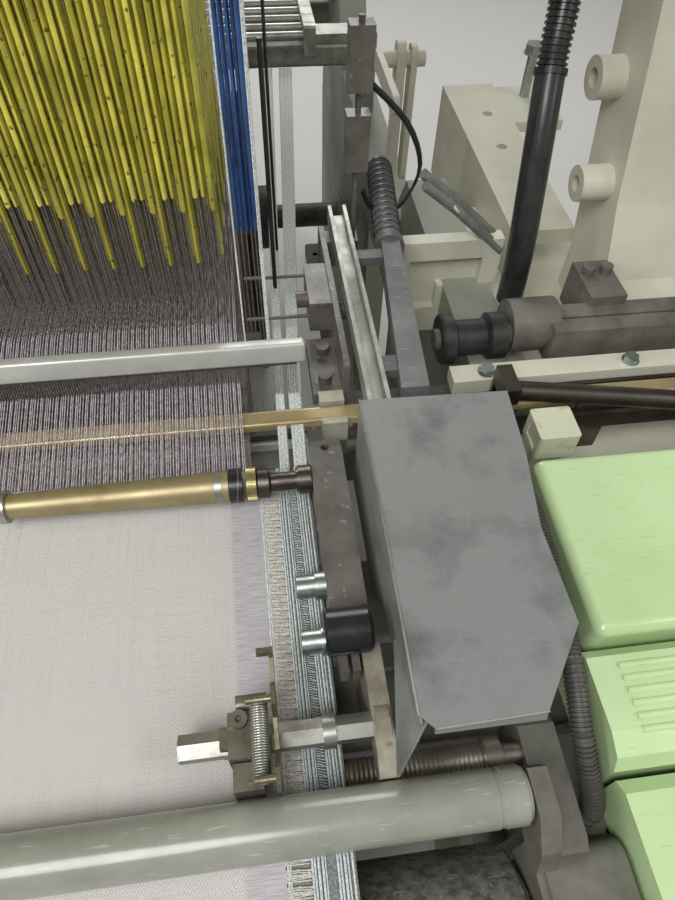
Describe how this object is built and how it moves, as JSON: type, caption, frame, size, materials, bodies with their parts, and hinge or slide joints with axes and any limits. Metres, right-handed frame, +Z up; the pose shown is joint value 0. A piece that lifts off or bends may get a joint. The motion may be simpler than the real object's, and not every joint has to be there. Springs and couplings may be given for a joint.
{
  "type": "power loom",
  "caption": "Free-standing jacquard rapier loom weaving a grey-mauve twill, with yellow-sleeved harness, reed, temples, rack-driven rapiers, green covers and a gantry head.",
  "frame": {"origin": "middle of the footprint, on the floor", "axes": "+X along the weft towards the weaver's right, +Y from the weaver back to the warp beam, +Z up"},
  "size_m": [4, 2.2, 2.75],
  "materials": {
    "cast_cream": "satin paint over a casting",
    "frame_grey": "satin paint",
    "green_paint": "gloss paint",
    "dark_cast": "worn brown-black",
    "rough_cast": "raw casting",
    "grey_cast": "oiled grey-brown",
    "guard_slate": "mottled slate sheet with scratches",
    "bright_steel": "brushed",
    "oiled_steel": "oiled",
    "zinc": "satin zinc",
    "yellow_zinc": "yellow passivated",
    "reed_aluminium": "satin",
    "temple_brass": "worn",
    "tube_paint": "gloss pale grey-green",
    "grip_cover": "rough, speckled with fibre",
    "black_plastic": "gloss",
    "bush_rubber": "satin",
    "hose_plastic": "corrugated",
    "guide_plastic": "worn",
    "sensor_shell": "gloss, rust stained",
    "rod_carbon": "clear coated brown",
    "sleeve_yellow": "gloss",
    "comber_board": "laminated board",
    "harness_cord": "waxed cord",
    "warp_yarn": "grey-mauve yarn",
    "woven_cloth": "fine twill",
    "rust_steel": "fine ridges, rust on the end",
    "foot_black": "matt"
  },
  "bodies": {
    "frame": {"side_frames": "frame_grey", "cross_beams": "frame_grey", "machine_feet": "foot_black", "gantry": "frame_grey", "jacquard_head": "cast_cream", "comberboard": "comber_board", "harness_cords": "harness_cord", "harness_springs": "oiled_steel", "drive_cabinets": "cast_cream", "ribbed_covers": "green_paint", "front_covers": "green_paint", "rapier_housings": "oiled_steel", "rapier_rails": "cast_cream", "guards": "guard_slate", "channel_bar": "bright_steel", "suction_duct": "guard_slate", "leno_device": "dark_cast", "rapier_guides": "guide_plastic", "clamp_bar": "grey_cast", "rubber_bush": "bush_rubber", "column_arm": "cast_cream", "cream_bracket": "cast_cream", "cable_hose": "hose_plastic", "conduit": "hose_plastic", "sensor_box": "sensor_shell", "temple_arms": "dark_cast", "temple_joints": "oiled_steel", "arm_caps": "black_plastic", "zinc_studs": "zinc", "cast_posts": "rough_cast", "hex_shafts": "bright_steel", "clamp_plate": "yellow_zinc", "clamp_block": "grey_cast", "clamp_spring": "bright_steel", "breast_beam": "grey_cast", "spreader_bar": "rust_steel", "press_brackets": "grey_cast", "stop_motion": "bright_steel", "fasteners": "zinc", "cloth": "woven_cloth", "warp_back": "warp_yarn", "warp_upper": "warp_yarn", "warp_lower": "warp_yarn"},
    "sley": {"sley": "grey_cast", "reed": "reed_aluminium"},
    "heddles_up": {"heddles_raised": "sleeve_yellow"},
    "heddles_down": {"heddles_lowered": "sleeve_yellow"},
    "rapier_r": {"rapier_right": "rod_carbon"},
    "rapier_l": {"rapier_left": "rod_carbon"},
    "pinion_r": {"pinion_right": "oiled_steel"},
    "pinion_l": {"pinion_left": "oiled_steel"},
    "temple_r": {"temple_right": "temple_brass"},
    "temple_l": {"temple_left": "temple_brass"},
    "grip": {"grip_roller": "grip_cover"},
    "press": {"press_tube": "tube_paint"},
    "take_up": {"cloth_roll": "woven_cloth"},
    "beam": {"warp_beam": "warp_yarn"},
    "back_rest": {"back_rest_roller": "bright_steel"},
    "lid_r": {"top_cover_right": "green_paint"},
    "lid_l": {"top_cover_left": "green_paint"}
  },
  "joints": [
    {"name": "rapier_right_slide", "type": "slide", "parent": "frame", "child": "rapier_r", "axis": [1, 0, 0], "range_m": [0, 0.62]},
    {"name": "rapier_left_slide", "type": "slide", "parent": "frame", "child": "rapier_l", "axis": [-1, 0, 0], "range_m": [0, 0.62]},
    {"name": "pinion_right_spin", "type": "hinge", "parent": "frame", "child": "pinion_r", "pos_m": [1.25, -0.48, 0.86025], "axis": [0, 1, 0], "range_deg": [0, 396]},
    {"name": "pinion_left_spin", "type": "hinge", "parent": "frame", "child": "pinion_l", "pos_m": [-1.25, -0.48, 0.86025], "axis": [0, -1, 0], "range_deg": [0, 396]},
    {"name": "sley_swing", "type": "hinge", "parent": "frame", "child": "sley", "pos_m": [0, -0.545, 0.46], "axis": [1, 0, 0], "range_deg": [0, 1.5]},
    {"name": "heddles_raised_slide", "type": "slide", "parent": "frame", "child": "heddles_up", "axis": [0, 0, 1], "range_m": [-0.034, 0], "deforming": ["warp_upper"]},
    {"name": "heddles_lowered_slide", "type": "slide", "parent": "frame", "child": "heddles_down", "axis": [0, 0, 1], "range_m": [0, 0.034], "deforming": ["warp_lower"]},
    {"name": "warp_beam_spin", "type": "hinge", "parent": "frame", "child": "beam", "pos_m": [0, 0.685, 0.42], "axis": [1, 0, 0], "continuous": true},
    {"name": "back_rest_spin", "type": "hinge", "parent": "frame", "child": "back_rest", "pos_m": [0, 0.875, 0.8991], "axis": [1, 0, 0], "continuous": true},
    {"name": "grip_roller_spin", "type": "hinge", "parent": "frame", "child": "grip", "pos_m": [0, -0.945, 0.855], "axis": [1, 0, 0], "continuous": true},
    {"name": "press_tube_spin", "type": "hinge", "parent": "frame", "child": "press", "pos_m": [0, -0.843, 0.9799], "axis": [1, 0, 0], "continuous": true},
    {"name": "cloth_roll_spin", "type": "hinge", "parent": "frame", "child": "take_up", "pos_m": [0, -0.925, 0.4], "axis": [1, 0, 0], "continuous": true},
    {"name": "temple_right_spin", "type": "hinge", "parent": "frame", "child": "temple_r", "pos_m": [0.43, -0.573, 0.986], "axis": [1, 0, 0], "continuous": true},
    {"name": "temple_left_spin", "type": "hinge", "parent": "frame", "child": "temple_l", "pos_m": [-0.43, -0.573, 0.986], "axis": [1, 0, 0], "continuous": true},
    {"name": "lid_right_open", "type": "hinge", "parent": "frame", "child": "lid_r", "pos_m": [1.1, -0.587, 0.988], "axis": [-1, 0, 0], "range_deg": [0, 80]},
    {"name": "lid_left_open", "type": "hinge", "parent": "frame", "child": "lid_l", "pos_m": [-1.1, -0.587, 0.988], "axis": [-1, 0, 0], "range_deg": [0, 80]}
  ],
  "couplings": [
    {"joint": "rapier_left_slide", "follows": "rapier_right_slide", "ratio": 1},
    {"joint": "pinion_right_spin", "follows": "rapier_right_slide", "rad_per_m": 11.111},
    {"joint": "pinion_left_spin", "follows": "rapier_right_slide", "rad_per_m": 11.111},
    {"joint": "heddles_lowered_slide", "follows": "heddles_raised_slide", "ratio": -1},
    {"joint": "back_rest_spin", "follows": "warp_beam_spin", "ratio": 5},
    {"joint": "grip_roller_spin", "follows": "warp_beam_spin", "ratio": 3.3333},
    {"joint": "press_tube_spin", "follows": "warp_beam_spin", "ratio": -15.789},
    {"joint": "cloth_roll_spin", "follows": "warp_beam_spin", "ratio": 2.3077},
    {"joint": "temple_right_spin", "follows": "warp_beam_spin", "ratio": -21.429},
    {"joint": "temple_left_spin", "follows": "warp_beam_spin", "ratio": -21.429}
  ]
}
